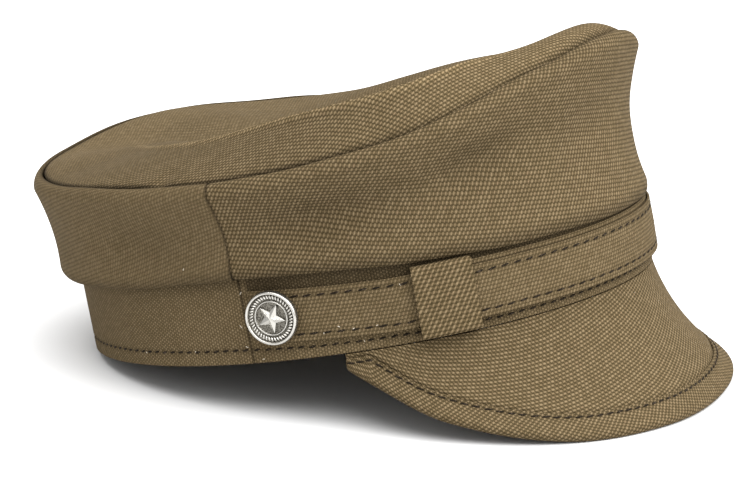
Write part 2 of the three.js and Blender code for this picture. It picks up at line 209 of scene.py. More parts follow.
class Cloth:
    """A length of cloth: the grid of points that its outer face runs through.

    profile gives the outward and upward places of one upright line of the cloth at an angle.
    relief lifts the cloth along its face, and the shading function darkens it with painted shade and,
    where it is below 0, lightens it with painted light. Both are given the angle, the way along, the way to
    the nearest side seam, the way up, and the way left to the upper edge.
    """

    def __init__(self, angles, profile, rows, relief=None, painted_shading=None, place=around):
        self.angles = np.asarray(angles, float)
        chains = [evenly(np.stack(profile(angle), axis=-1), rows + 1) for angle in angles]
        section = np.array(chains)
        angle = np.asarray(angles)[:, None]
        points = place(angle, section[..., 0], section[..., 1])
        self.along = travelled(points, 0)[:, rows // 2]
        self.up = travelled(points, 1)
        self.rows = rows
        self.columns = len(angles) - 1
        seam = np.minimum(self.along, self.along[-1] - self.along)[:, None]
        ways = angle, self.along[:, None], seam, self.up, self.up[:, -1:] - self.up
        if relief:
            points = points + normals_of(points) * relief(*ways)[..., None]
        self.painted_shading = np.broadcast_to(painted_shading(*ways) if painted_shading else 0.0, self.up.shape)
        self.points = lay_down(points)
        self.facing = normals_of(self.points)
        self.flat = np.stack(np.broadcast_arrays(self.along[:, None], self.up), axis=-1)

    def at(self, along, up):
        """The place, the way along and the way out. up is from the upper edge where it is below 0."""
        column = np.interp(along, self.along, np.arange(self.columns + 1))
        first = min(int(column), self.columns - 1)
        share = column - first
        heights = self.up[first] * (1 - share) + self.up[first + 1] * share
        row = np.interp(up + heights[-1] if up < 0 else up, heights, np.arange(self.rows + 1))
        low = min(int(row), self.rows - 1)
        rest = row - low

        def read(grid):
            """A grid's value at this place."""
            lower = grid[first, low] * (1 - share) + grid[first + 1, low] * share
            upper = grid[first, low + 1] * (1 - share) + grid[first + 1, low + 1] * share
            return Vector(lower * (1 - rest) + upper * rest)

        forward = Vector(self.points[first + 1, low] - self.points[first, low])
        return read(self.points), forward.normalized(), read(self.facing).normalized()


def cloth_object(name, cloth, wall, edge, closed=False):
    """Bends a flat grid to the cloth's points and gives it a wall with rounded edges.

    Where each point lies on the flat cloth is kept as a UV map, and its painted shading as an attribute.
    """
    grid = bmesh.new()
    bmesh.ops.create_grid(grid, x_segments=cloth.columns, y_segments=cloth.rows, size=0.5)
    flat = grid.loops.layers.uv.new("flat_cloth")
    painted_shading = grid.verts.layers.float.new("painted_shading")
    for vertex in grid.verts:
        column = round((vertex.co.x + 0.5) * cloth.columns)
        row = round((vertex.co.y + 0.5) * cloth.rows)
        for corner in vertex.link_loops:
            corner[flat].uv = cloth.flat[column, row] * MM
        vertex[painted_shading] = cloth.painted_shading[column, row]
        vertex.co = cloth.points[column, row]
    if closed:
        bmesh.ops.remove_doubles(grid, verts=grid.verts, dist=1e-6)
    for face in grid.faces:
        face.smooth = True
    piece = new_object(name, grid)
    thickness = piece.modifiers.new("wall", "SOLIDIFY")
    thickness.thickness = wall * MM
    thickness.offset = -1
    if edge:
        rounding = piece.modifiers.new("soft_edge", "BEVEL")
        rounding.width = edge * MM
        rounding.segments = 3
        rounding.limit_method = "ANGLE"
        rounding.angle_limit = math.radians(50)
    return piece


def add_node(tree, kind, inputs=(), **settings):
    """Adds a node. inputs maps a socket's name or number to its value or to what feeds it."""
    new = tree.nodes.new(kind)
    for name, value in settings.items():
        setattr(new, name, value)
    for name, value in dict(inputs).items():
        if isinstance(value, bpy.types.NodeSocket):
            tree.links.new(value, new.inputs[name])
        else:
            new.inputs[name].default_value = value
    return new


def add_math(tree, operation, first, second=0.0, third=0.0):
    """Adds a Math node and returns its output."""
    values = {0: first, 1: second, 2: third}
    return add_node(tree, "ShaderNodeMath", values, operation=operation).outputs[0]


def add_vector_math(tree, operation, inputs):
    """Adds a Vector Math node and returns its outputs."""
    return add_node(tree, "ShaderNodeVectorMath", inputs, operation=operation).outputs


def add_distance(tree, across, upward):
    """Adds the length of a flat vector and returns its output."""
    spot = add_node(tree, "ShaderNodeCombineXYZ", {"X": across, "Y": upward}).outputs[0]
    return add_vector_math(tree, "LENGTH", {0: spot})["Value"]


def add_noise(tree, place, scale, detail=2.0):
    """Adds a noise pattern and returns its outputs."""
    return add_node(tree, "ShaderNodeTexNoise", {"Vector": place, "Scale": scale, "Detail": detail}).outputs


def add_mix(tree, share, low, high):
    """Adds a mix of two colours and returns its output."""
    return add_node(tree, "ShaderNodeMix", {0: share, 6: low, 7: high}, data_type="RGBA").outputs[2]


def add_fade(tree, value, low, high):
    """Adds a smooth run from 0 at low to 1 at high and returns its output."""
    ends = {"Value": value, "From Min": low, "From Max": high}
    return add_node(tree, "ShaderNodeMapRange", ends, interpolation_type="SMOOTHSTEP").outputs[0]


# The larger these are, the slimmer or shorter a thread is drawn in its cell. The filling threads
# show between the raised ones.
THREAD_SLIM = 2.75
THREAD_SHORT = 1.6
FILLING_SLIM = 4.0
FILLING_SHORT = 2.4

# How far from its middle a thread fades out and is full, and how much the threads differ.
THREAD_FADE = (1.15, 0.15)
FILLING_FADE = (1.1, 0.2)
THREAD_SPREAD = 0.18

# How high the filling thread and the fuzz stand, as a share of the raised thread.
FILLING_RISE = 0.4
FUZZ_RISE = 0.25

# How fine the three noise patterns are, in waves to the metre.
DRIFT_SCALE = 260.0
FUZZ_SCALE = 1700.0
PATCH_SCALE = 24.0


def weave_group():
    """The weave of heavy canvas: rows of raised, slanting threads, each row shifted half a thread."""
    group = bpy.data.node_groups.new("canvas_weave", "ShaderNodeTree")
    group.interface.new_socket("Cloth", in_out="INPUT", socket_type="NodeSocketVector")
    for name in ("Thread", "Row", "Slant", "Wander"):
        group.interface.new_socket(name, in_out="INPUT", socket_type="NodeSocketFloat")
    for name in ("Crown", "Filling", "Shade", "Warmth", "Fuzz", "Patch", "Height"):
        group.interface.new_socket(name, in_out="OUTPUT", socket_type="NodeSocketFloat")
    start = group.nodes.new("NodeGroupInput").outputs
    end = group.nodes.new("NodeGroupOutput").inputs
    drift = add_noise(group, start["Cloth"], DRIFT_SCALE)["Color"]
    fuzz = add_noise(group, start["Cloth"], FUZZ_SCALE)["Fac"]
    patch = add_noise(group, start["Cloth"], PATCH_SCALE)["Fac"]

    # The threads wander a little from their straight lines.
    centred = add_vector_math(group, "SUBTRACT", {0: drift, 1: (0.5, 0.5, 0.5)})[0]
    moved = add_vector_math(group, "SCALE", {0: centred, "Scale": start["Wander"]})[0]
    cloth = add_vector_math(group, "ADD", {0: start["Cloth"], 1: moved})[0]
    flat = add_node(group, "ShaderNodeSeparateXYZ", {0: cloth}).outputs

    # Each cell holds one raised thread. side and lift run from -0.5 to 0.5 across it.
    down = add_math(group, "DIVIDE", flat["Y"], start["Row"])
    row = add_math(group, "FLOOR", down)
    odd = add_math(group, "PINGPONG", row, 1.0)
    run = add_math(group, "DIVIDE", flat["X"], start["Thread"])
    shifted = add_math(group, "MULTIPLY_ADD", odd, 0.5, run)
    cell = add_math(group, "FLOOR", shifted)
    side = add_math(group, "SUBTRACT", add_math(group, "SUBTRACT", shifted, cell), 0.5)
    lift = add_math(group, "SUBTRACT", add_math(group, "SUBTRACT", down, row), 0.5)
    place = add_node(group, "ShaderNodeCombineXYZ", {"X": cell, "Y": row}).outputs[0]
    each = add_node(group, "ShaderNodeTexWhiteNoise", {"Vector": place}, noise_dimensions="2D").outputs
    shades = add_node(group, "ShaderNodeSeparateXYZ", {0: each["Color"]}).outputs

    # The raised thread is a leaning oval, some a little thinner than others.
    slim = add_math(group, "MULTIPLY", side, THREAD_SLIM)
    across = add_math(group, "MULTIPLY_ADD", lift, start["Slant"], slim)
    far = add_distance(group, across, add_math(group, "MULTIPLY", lift, THREAD_SHORT))
    thin = add_math(group, "MULTIPLY_ADD", each["Value"], -THREAD_SPREAD, 1 + THREAD_SPREAD / 2)
    crown = add_fade(group, add_math(group, "MULTIPLY", far, thin), *THREAD_FADE)

    # The filling thread shows as a small oval between two raised ones.
    edge = add_math(group, "SUBTRACT", add_math(group, "ABSOLUTE", side), 0.5)
    across = add_math(group, "MULTIPLY", edge, FILLING_SLIM)
    near = add_distance(group, across, add_math(group, "MULTIPLY", lift, FILLING_SHORT))
    filling = add_fade(group, near, *FILLING_FADE)
    body = add_math(group, "MULTIPLY_ADD", filling, FILLING_RISE, crown)
    height = add_math(group, "MULTIPLY_ADD", fuzz, FUZZ_RISE, body)
    made = {"Crown": crown, "Filling": filling, "Shade": each["Value"], "Warmth": shades["Z"],
            "Fuzz": fuzz, "Patch": patch, "Height": height}
    for name, output in made.items():
        group.links.new(output, end[name])
    return group


# The colours of the canvas, from the gaps between its threads to the palest thread.
weave = weave_group()
DEEP = (0.040, 0.029, 0.013, 1)
FILLING = (0.084, 0.060, 0.030, 1)
TAN = (0.155, 0.111, 0.059, 1)
PALE = (0.191, 0.140, 0.079, 1)
RUSSET = (0.168, 0.118, 0.066, 1)
RUSSET_SHARE = 0.14
CONTRAST_MIDDLE = 0.4
# How far the painted shading darkens the cloth.
PAINTED_SHADE_DARK = 0.62
FUZZ_DEPTH = 0.40
PATCH_DEPTH = 0.12
THREAD_WANDER = 0.35
WEAVE_DEPTH = 0.28
CANVAS_ROUGH = 0.9
CANVAS_SHINE = 0.05


def canvas(name, thread, row, turned=0.0, slant=-0.6, tint=1.0, contrast=1.0):
    """Canvas as a material. turned is the angle of its threads to the piece's length."""
    material, tree, shader = new_material(name)
    flat = add_node(tree, "ShaderNodeUVMap", uv_map="flat_cloth").outputs[0]
    cut = (0, 0, math.radians(turned))
    cloth = add_node(tree, "ShaderNodeMapping", {0: flat, "Rotation": cut}).outputs[0]
    fields = {"Cloth": cloth, "Thread": thread * MM, "Row": row * MM, "Slant": slant,
              "Wander": THREAD_WANDER * MM}
    threads = add_node(tree, "ShaderNodeGroup", fields, node_tree=weave).outputs
    ground = add_mix(tree, threads["Filling"], DEEP, FILLING)
    thread_tone = add_mix(tree, threads["Shade"], TAN, PALE)
    russet = add_fade(tree, threads["Warmth"], 1 - RUSSET_SHARE, 1.0)
    thread_tone = add_mix(tree, russet, thread_tone, RUSSET)
    lifted = (1 - contrast) * CONTRAST_MIDDLE
    share = add_math(tree, "MULTIPLY_ADD", threads["Crown"], contrast, lifted)
    colour = add_mix(tree, share, ground, thread_tone)
    # The shading attribute paints shade where it is above 0 and paints light where it is below 0.
    painted_shading = add_node(tree, "ShaderNodeAttribute", attribute_name="painted_shading").outputs["Fac"]
    value = add_math(tree, "MULTIPLY_ADD", painted_shading, -PAINTED_SHADE_DARK, tint)
    fuzz = add_math(tree, "SUBTRACT", threads["Fuzz"], 0.5)
    value = add_math(tree, "MULTIPLY_ADD", fuzz, FUZZ_DEPTH * tint, value)
    patch = add_math(tree, "SUBTRACT", threads["Patch"], 0.5)
    value = add_math(tree, "MULTIPLY_ADD", patch, PATCH_DEPTH * tint, value)
    toned = add_node(tree, "ShaderNodeHueSaturation", {"Color": colour, "Value": value})
    tree.links.new(toned.outputs[0], shader.inputs["Base Color"])
    shader.inputs["Roughness"].default_value = CANVAS_ROUGH
    shader.inputs["Specular IOR Level"].default_value = CANVAS_SHINE
    relief = {"Height": threads["Height"], "Strength": 0.8, "Distance": WEAVE_DEPTH * MM}
    bump = add_node(tree, "ShaderNodeBump", relief)
    tree.links.new(bump.outputs[0], shader.inputs["Normal"])
    return material


def stations(first, last, spacing):
    """Angles from first to last, about spacing millimetres apart round the band."""
    length = abs(last - first) / 360 * math.pi * (HALF_WIDTH + HALF_LENGTH)
    return np.linspace(first, last, round(length / spacing) + 1)


def band_profile(angle):
    """The band stands upright, the same all round."""
    return np.array((0.0, 0.0)), np.array((0.0, BAND_HEIGHT))


# The topstitch runs this far above the band's lower edge, at angles from the front.
HEM_ANGLES = np.array((0, 23, 36, 48, 82, 97, 180), float)
HEM_HEIGHTS = np.array((2.6, 2.6, 2.5, 2.5, 3.8, 4.8, 4.8), float)
HEM_PITCH = 4.0
HEM_GROOVE = 0.35
HEM_GROOVE_HALF = 0.7
HEM_PUCKER = 0.12
HEM_PUCKER_HALF = 2.0

# How dark the painted shade is along the hem, at the seams and under the crown's front and back,
# how far up the crown's painted shadow starts and is full, and how much painted light lifts the back.
HEM_PAINTED_SHADE = 0.4
SEAM_PAINTED_SHADE = 0.8
SEAM_HALF = 0.45
FRONT_SHADE = 0.8
FRONT_SHADED = (20, 25)
BACK_SHADE = 0.5
BACK_SHADED = (24, 30)
BACK_PAINTED_LIGHT = 0.1


def hem_height(angle):
    """How far up the band its topstitch runs at an angle."""
    return smooth(HEM_ANGLES, HEM_HEIGHTS, np.abs(from_front(angle)))


def hump(value, middle, half):
    """A smooth bump: 1 in the middle, gone at about twice half its width."""
    return np.exp(-(((value - middle) / half) ** 2))


def band_relief(angle, along, seam, up, left):
    """The topstitch pulls a shallow groove in the cloth and puckers it beside each stitch."""
    groove = -HEM_GROOVE * hump(up, hem_height(angle), HEM_GROOVE_HALF)
    pucker = HEM_PUCKER * hump(up, hem_height(angle), HEM_PUCKER_HALF)
    return groove + pucker * np.cos(2 * np.pi * along / HEM_PITCH)


def band_painted_shading(angle, along, seam, up, left):
    """Painted shade along the topstitch, at the side seams and up under the crown, and painted light at the
    back.
    """
    forward = np.cos(np.radians(angle))
    # Painted shadow of the crown's overhang on the band's upper part.
    under_front = FRONT_SHADE * fade(up, *FRONT_SHADED)
    under_back = BACK_SHADE * fade(up, *BACK_SHADED)
    overhung = np.where(forward > -0.05, under_front, under_back)
    # Painted light makes the back of the band lighter.
    back_painted_light = BACK_PAINTED_LIGHT * fade(-forward, 0, 0.3)
    hem = HEM_PAINTED_SHADE * hump(up, hem_height(angle), 0.8)
    return hem + SEAM_PAINTED_SHADE * hump(seam, 0, SEAM_HALF) + overhung - back_painted_light


band_canvas = canvas("band_canvas", thread=1.25, row=1.0, turned=90, slant=0.0, contrast=0.75)
front_angles = stations(SIDE_SEAM, -SIDE_SEAM, GRID)
back_angles = stations(360 - SIDE_SEAM, SIDE_SEAM, GRID)
band_front_cloth = Cloth(front_angles, band_profile, BAND_ROWS, band_relief, band_painted_shading)
band_back_cloth = Cloth(back_angles, band_profile, BAND_ROWS, band_relief, band_painted_shading)
band_front = cloth_object("band_front_cloth", band_front_cloth, WALL, BAND_EDGE)
band_back = cloth_object("band_back_cloth", band_back_cloth, WALL, BAND_EDGE)
for piece, node in ((band_front, "band_front"), (band_back, "band_back")):
    piece.data.materials.append(band_canvas)
    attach(piece, "root")
    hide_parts(node)


# The topstitching.
# Dark brown sewing thread in short, slightly slanting stitches, sewn by machine through the
# folded edges. A row runs round the band's hem first, and the other rows are made the same way.
STITCH_LONG = 3.3
STITCH_THICK = 0.78
STITCH_SLANT = 9
STITCH_STRAY = 0.15
STITCH_DRIFT = 0.08
STITCH_SWING = 3
# The thread's own dark brown, and the paler colour that paints highlights on its plies.
THREAD_DARK = (0.010, 0.007, 0.004, 1)
THREAD_PAINTED_HIGHLIGHT = (0.050, 0.037, 0.026, 1)
chance = random.Random(3)


def thread_material():
    """Twisted sewing thread, dark brown, with paler flecks along its plies that are painted highlights."""
    material, tree, shader = new_material("sewing_thread")
    place = add_node(tree, "ShaderNodeTexCoord").outputs["Object"]
    ply = add_noise(tree, place, 1300.0, 1.0)["Fac"]
    colour = add_mix(tree, add_fade(tree, ply, 0.52, 0.78), THREAD_DARK, THREAD_PAINTED_HIGHLIGHT)
    tree.links.new(colour, shader.inputs["Base Color"])
    shader.inputs["Roughness"].default_value = 0.8
    shader.inputs["Specular IOR Level"].default_value = 0.08
    bump = add_node(tree, "ShaderNodeBump", {"Height": ply, "Strength": 0.6, "Distance": 0.2 * MM})
    tree.links.new(bump.outputs[0], shader.inputs["Normal"])
    return material


def add_strand(sewn, cloth, along, up, length, thick, turned):
    """Adds one short rounded strand that lies on the cloth."""
    place, forward, facing = cloth.at(along, up)
    across = facing.cross(forward).normalized()
    forward = across.cross(facing)
    lie = Matrix((forward, across, facing)).transposed() @ Matrix.Rotation(math.radians(turned), 3, "Z")
    shape = Matrix.Diagonal((length / 2 * MM, thick / 2 * MM, thick / 3 * MM, 1))
    placed = Matrix.Translation(place + facing * 0.03 * MM) @ lie.to_4x4() @ shape
    bmesh.ops.create_uvsphere(sewn, u_segments=8, v_segments=4, radius=1, matrix=placed)


def stitching(name, rows, pitch):
    """Rows of stitches as one piece. A row is a cloth and a way to its height at an angle."""
    sewn = bmesh.new()
    for cloth, line in rows:
        for number in range(int(cloth.along[-1] / pitch)):
            along = (number + 0.5) * pitch + chance.uniform(-STITCH_STRAY, STITCH_STRAY)
            middle = line(np.interp(along, cloth.along, cloth.angles))
            up = middle + chance.uniform(-STITCH_DRIFT, STITCH_DRIFT)
            long = min(STITCH_LONG, pitch * 0.8) * chance.uniform(0.9, 1.05)
            turned = STITCH_SLANT + chance.uniform(-STITCH_SWING, STITCH_SWING)
            add_strand(sewn, cloth, along, up, long, STITCH_THICK, turned)
    for face in sewn.faces:
        face.smooth = True
    piece = new_object(name, sewn)
    piece.data.materials.append(sewing_thread)
    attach(piece, "root")
    return piece


sewing_thread = thread_material()
hem_rows = (band_front_cloth, hem_height), (band_back_cloth, hem_height)
stitching("band_stitches", hem_rows, HEM_PITCH)


# The crown's side.
# Two panels of canvas, a tall one round the front and a low one round the back. Each hangs over
# the band as a soft roll, sinks in a little and rolls over into the seam that holds the top.
CROWN = {
    "at": (-150, -120, -90, -60, -30, 0, 30, 60, 90, 120, 150, 180),
    "low": (28.4, 28.0, 29.2, 26.6, 24.6, 24.0, 24.9, 26.6, 29.5, 28.0, 28.3, 28.3),
    "low_out": (6.2, 5.2, 3.9, 3.1, 2.6, 2.8, 2.8, 3.2, 3.9, 5.6, 6.7, 6.5),
    "waist": (0.8, 0.9, 1.2, 1.8, 2.5, 3.6, 2.5, 1.9, 1.4, 1.0, 0.8, 0.8),
    "rim_out": (10.2, 10.1, 9.8, 9.6, 9.2, 6.3, 7.4, 10.3, 9.8, 10.4, 10.3, 10.5),
    "rim": (71.4, 65.8, 60.2, 67.7, 74.2, 83.8, 80.1, 68.6, 63.5, 64.6, 65.3, 68.1),
    "puff": (2.0, 1.0, 9.6, 7.8, 1.1, 5.3, 8.9, 15.7, 14.0, 9.7, 7.2, 0.8),
    "ridge": (0.68, 0.56, 0.71, 0.73, 0.77, 0.92, 0.89, 0.91, 0.76, 0.66, 0.58, 0.61),
}
CROWN_WALL = 1.4
CROWN_EDGE = 0.3
FRONT_ROWS = 80
BACK_ROWS = 70
ROLL = 4
TUCK = 2.2


def crown(column, angle):
    """One column of the crown's table at any angle round the head."""
    at, values = (np.array(CROWN[name], float) for name in ("at", column))
    at = np.concatenate((at[-2:] - 360, at, at[:2] + 360))
    values = np.concatenate((values[-2:], values, values[:2]))
    return smooth(at, values, from_front(angle))


def crown_side_profile(angle):
    """From the tuck over the band, down round the soft roll, up the side and into the top seam."""
    columns = "low", "low_out", "waist", "rim_out", "rim"
    low, low_out, waist, rim_out, rim = (crown(column, angle) for column in columns)
    bend = np.radians(np.linspace(-140, 0, 15, endpoint=False))
    lip = low_out * (0.55 + 0.45 * np.cos(bend)), low + ROLL * (1 + np.sin(bend))
    share = np.linspace(0, 1, 40, endpoint=False)
    lean = low_out + (rim_out - low_out) * share ** 1.6
    wall = lean - waist * np.sin(np.pi * share), low + ROLL + (rim - low - 2 * ROLL) * share
    full = 0.6 * np.pi
    bend = np.linspace(0, full, 20)
    rolled = (1 - np.cos(bend)) / (1 - math.cos(full))
    roll = rim_out - ROLL * rolled, rim - ROLL + 1.05 * ROLL * np.sin(bend)
    tuck = np.array((rim_out - ROLL, rim_out - ROLL + 0.1)), np.array((rim - 0.8, rim - TUCK))
    return [np.concatenate(parts) for parts in zip(lip, wall, roll, tuck)]


# Soft folds: angle, distance below the top seam, reach in degrees, reach down and depth.
FOLDS = (
    (75, 26, 13, 7, 4.8),
    (45, 27, 12, 7.5, 4.8),
    (15, 32, 12, 9, 1.6),
    (113, 27, 12, 9, 3.2),
    (-24, 32, 11, 8, 1.0),
    (-58, 26, 14, 7.5, 3.6),
    (-104, 27, 16, 9, 2.6),
    (-160, 26, 18, 9, 1.3),
)
# How dark the painted shade is in the folds, how high the ripple stands, and how dark the painted shade is
# under the roll and in the seams.
FOLD_PAINTED_SHADE = 0.045
RIPPLE = 0.25
LIP_PAINTED_SHADE = 0.5
CROWN_SEAM_PAINTED_SHADE = 0.85


def sagging(angle, left):
    """How far the crown's side has sunk in at an angle and a distance from the top seam."""
    turned = from_front(angle)
    sunk = 0
    for at, below, reach, tall, depth in FOLDS:
        sunk = sunk + depth * hump(turned, at, reach) * hump(left, below, tall)
    return sunk


def crown_relief(angle, along, seam, up, left):
    """Soft folds along the sagging side, and a faint ripple."""
    ripple = RIPPLE * np.sin(along / 9.0) * np.sin(up / 5.0 + along / 23.0)
    return ripple - sagging(angle, left)


def crown_painted_shading(angle, along, seam, up, left):
    """Painted shade where the cloth turns into its seams, in its folds and under the roll over the band."""
    deep = 0.8 - 0.4 * fade(np.cos(np.radians(angle)), 0.2, 0.9)
    tucked = deep * (1 - fade(left, 2.2, 4.2)) + 0.2 * (1 - fade(left, 4, 9))
    seamed = CROWN_SEAM_PAINTED_SHADE * hump(seam, 0, SEAM_HALF) + tucked
    return seamed + LIP_PAINTED_SHADE * (1 - fade(up, 3, 9)) + FOLD_PAINTED_SHADE * sagging(angle, left + 5)


crown_front_canvas = canvas("crown_front_canvas", thread=1.4, row=1.42, turned=8, contrast=0.95)
crown_back_canvas = canvas("crown_back_canvas", thread=1.3, row=1.35, turned=-12, contrast=0.5)
crown_front_cloth = Cloth(front_angles, crown_side_profile, FRONT_ROWS, crown_relief, crown_painted_shading)
crown_back_cloth = Cloth(back_angles, crown_side_profile, BACK_ROWS, crown_relief, crown_painted_shading)
crown_front = cloth_object("crown_side_front_cloth", crown_front_cloth, CROWN_WALL, CROWN_EDGE)
crown_back = cloth_object("crown_side_back_cloth", crown_back_cloth, CROWN_WALL, CROWN_EDGE)
crown_sides = (
    (crown_front, crown_front_canvas, "crown_side_front"),
    (crown_back, crown_back_canvas, "crown_side_back"),
)
for piece, material, node in crown_sides:
    piece.data.materials.append(material)
    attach(piece, "root")
    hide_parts(node)


# The crown's top.
# One oval panel of canvas, sewn to the side panels with its edge turned in. It stands up inside
# the seam as a soft ridge, highest at the front, and sinks to a shallow dish in the middle.
CROWN_MIDDLE = 59.6
DISH_REACH = 0.55
RIDGE_FLAT = 0.8
CREST_HEIGHT = 0.8
CREST_HALF = 1.5
TOP_COLUMNS = 420
TOP_ROWS = 95
TOP_RIPPLE = 0.3
SEAM_PULL = 0.5

# Short puckers at the seam: angle, reach in degrees and depth.
PUCKERS = ((105, 1.8, 0.9), (62, 2.5, 0.6), (-80, 2.5, 0.6))

# How dark the painted shade is in the top seam, on the near face and in the dish, how much painted
# light lifts the front, and how pale the painted highlight along the ridge is.
TOP_SEAM_PAINTED_SHADE = 0.9
FACE_PAINTED_SHADE = 0.24
TOP_FRONT_PAINTED_LIGHT = 0.1
DISH_PAINTED_SHADE = 0.14
RIDGE_PAINTED_HIGHLIGHT = 0.55
RIDGE_PAINTED_HIGHLIGHT_HALF = 1.3


def near_side(angle):
    """1 along the stretch where the ridge is creased sharply, 0 round the rest."""
    turned = from_front(angle)
    return fade(turned, 15, 45) * (1 - fade(turned, 142, 168))


def crown_top_profile(angle):
    """From the middle of the top out to the seam, as a distance from the middle and a height."""
    ridge, rim, puff = (crown(column, angle) for column in ("ridge", "rim", "puff"))
    way = np.linspace(2, 0, 160)
    lift = np.minimum(way, 1) * np.pi / 2
    inside = ridge + (1 - ridge) * (1 - np.sin(lift))
    share = np.where(way < 1, inside, ridge * (2 - way))
    dome = np.sin(np.arccos(np.clip(1 - np.sin(lift), -1, 1)))
    outer = dome + RIDGE_FLAT * near_side(angle) * (np.sin(lift) - dome)
    sunk = np.clip((way - 1) / DISH_REACH, 0, 1)
    swell = np.where(way < 1, outer, (1 - sunk) ** 2 * (1 + 2 * sunk))
    reach = np.hypot(*around(angle, crown("rim_out", angle) - ROLL - GAP, 0)[:2])
    out = np.concatenate((share * reach, (reach - 0.1,)))
    up = np.concatenate((CROWN_MIDDLE + (rim - CROWN_MIDDLE) * share + puff * swell, (rim - TUCK,)))
    return out, up


def from_middle(angle, out, up):
    """Points at a level distance from the middle, towards the top seam at an angle."""
    seam = around(angle, crown("rim_out", angle) - ROLL - GAP, 0)[..., :2]
    way = seam / np.linalg.norm(seam, axis=-1, keepdims=True)
    return np.concatenate((way * out[..., None], up[..., None]), axis=-1)


class TopCloth(Cloth):
    """The top panel lies flat as a disc, so its flat place is a way and a length from the middle."""

    def __init__(self, *shape, **more):
        super().__init__(*shape, place=from_middle, **more)
        self.points[-1] = self.points[0]
        rim = self.points[:, -1, :2] - self.points[0, 0, :2]
        way = rim / np.linalg.norm(rim, axis=-1, keepdims=True)
        self.flat = way[:, None, :] * self.up[..., None]


def ridge_distance(angle):
    """How far the ridge is from the seam, along the cloth."""
    reach = np.linalg.norm(around(angle, crown("rim_out", angle) - ROLL, 0)[..., :2], axis=-1)
    return 0.75 * ((1 - crown("ridge", angle)) * reach + crown("puff", angle))


def seam_depth(angle):
    """The seam is pulled in deep at the back and sides, and only lightly at the front."""
    return 1 - 0.6 * fade(np.cos(np.radians(angle)), 0.1, 0.8)


def top_relief(angle, along, seam, up, left):
    """A sharp ridge along the near side, short puckers at the seam and a ripple in the dish."""
    turned = from_front(angle)
    crest = CREST_HEIGHT * near_side(angle) * hump(left, ridge_distance(angle), CREST_HALF)
    pucker = sum(depth * hump(turned, at, reach) for at, reach, depth in PUCKERS)
    pucker = pucker * (1 - fade(left, 4, 15)) * fade(left, 0, 3)
    ripple = TOP_RIPPLE * np.sin(np.radians(angle) * 9 + 1) * fade(up, 20, 70) * fade(left, 3, 12)
    return crest + ripple - pucker - SEAM_PULL * seam_depth(angle) * hump(left, 0, 3.5)


def top_painted_shading(angle, along, seam, up, left):
    """Painted shade in the seam, on the near face and in the dish, painted light on the front, and a
    painted highlight along the ridge.
    """
    beyond = left - ridge_distance(angle)
    turned = from_front(angle)
    ahead = fade(np.cos(np.radians(angle)), 0.2, 0.8)
    ridge_highlight = RIDGE_PAINTED_HIGHLIGHT * fade(turned, 15, 45) * (1 - fade(turned, 160, 178)) * hump(beyond, 0, RIDGE_PAINTED_HIGHLIGHT_HALF)
    face = FACE_PAINTED_SHADE * near_side(angle) * (1 - fade(beyond, -3, 0)) * fade(angle, 40, 115)
    dish = DISH_PAINTED_SHADE * fade(beyond, 0.5, 4) * (1 - ahead)
    seamed = TOP_SEAM_PAINTED_SHADE * seam_depth(angle) * (1 - fade(left, 2.6, 4.4))
    return seamed + face - TOP_FRONT_PAINTED_LIGHT * ahead + dish - ridge_highlight


top_canvas = canvas("top_canvas", thread=1.4, row=1.4, turned=100)
top_angles = np.linspace(0, 360, TOP_COLUMNS + 1)
crown_top_cloth = TopCloth(top_angles, crown_top_profile, TOP_ROWS, top_relief, top_painted_shading)
crown_top = cloth_object("crown_top_cloth", crown_top_cloth, CROWN_WALL, 0, closed=True)
crown_top.data.materials.append(top_canvas)
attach(crown_top, "root")
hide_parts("crown_top")


# The peak.
# A stiff board in a canvas cover cut on the bias, sewn under the band's front. A second strip of
# canvas is folded round its edge and topstitched to bind it.
PEAK = {
    "at": (0, 20, 40, 60, 72, 76),
    "reach": (50.0, 49.0, 43.4, 27.3, 10.4, 4.8),
    "slope": (64.5, 62.5, 61.5, 61.5, 61, 60),
}
PEAK_CORNER = 76
PEAK_FLARE = 36
PEAK_THICK = 3.8
BOARD_SUNK = 0.3
BOARD_THICK = 1.9
BINDING_WIDTH = 9.5
BINDING_WALL = 0.8
BINDING_INSET = 1.6
BINDING_STITCH = 1.5
BINDING_GROOVE = 0.18
# How dark the painted shade is along the binding's topstitch.
BINDING_PAINTED_SHADE = 0.4
BINDING_ROWS = 34
BINDING_EDGE = 0.2
PEAK_ROWS = 55
PEAK_EDGE = 0.4


def peak(column, angle):
    """One column of the peak's table, the same on both sides of its middle line."""
    at, values = (np.array(PEAK[name], float) for name in ("at", column))
    at = np.concatenate((-at[:0:-1], at))
    values = np.concatenate((values[:0:-1], values))
    return smooth(at, values, np.asarray(angle))


def peak_face(angle, length):
    """The peak's upper face at a length down its slope from the band."""
    reach = peak("reach", angle)
    slope = np.radians(peak("slope", angle) + PEAK_FLARE * (1 - length / reach) / 2)
    return np.stack((length * np.cos(slope), -GAP - length * np.sin(slope)), axis=-1)


def beside(chain, distance):
    """A chain of points moved to the left of the way it runs, which is out of the peak's face."""
    ahead = np.gradient(chain, axis=0)
    ahead = ahead / np.linalg.norm(ahead, axis=-1, keepdims=True)
    return chain + np.stack((-ahead[:, 1], ahead[:, 0]), axis=-1) * np.reshape(distance, (-1, 1))


def binding_start(angle):
    """Where the binding's edge lies on top, as a length down the peak's slope."""
    return max(float(peak("reach", angle)) - BINDING_WIDTH, BINDING_INSET)


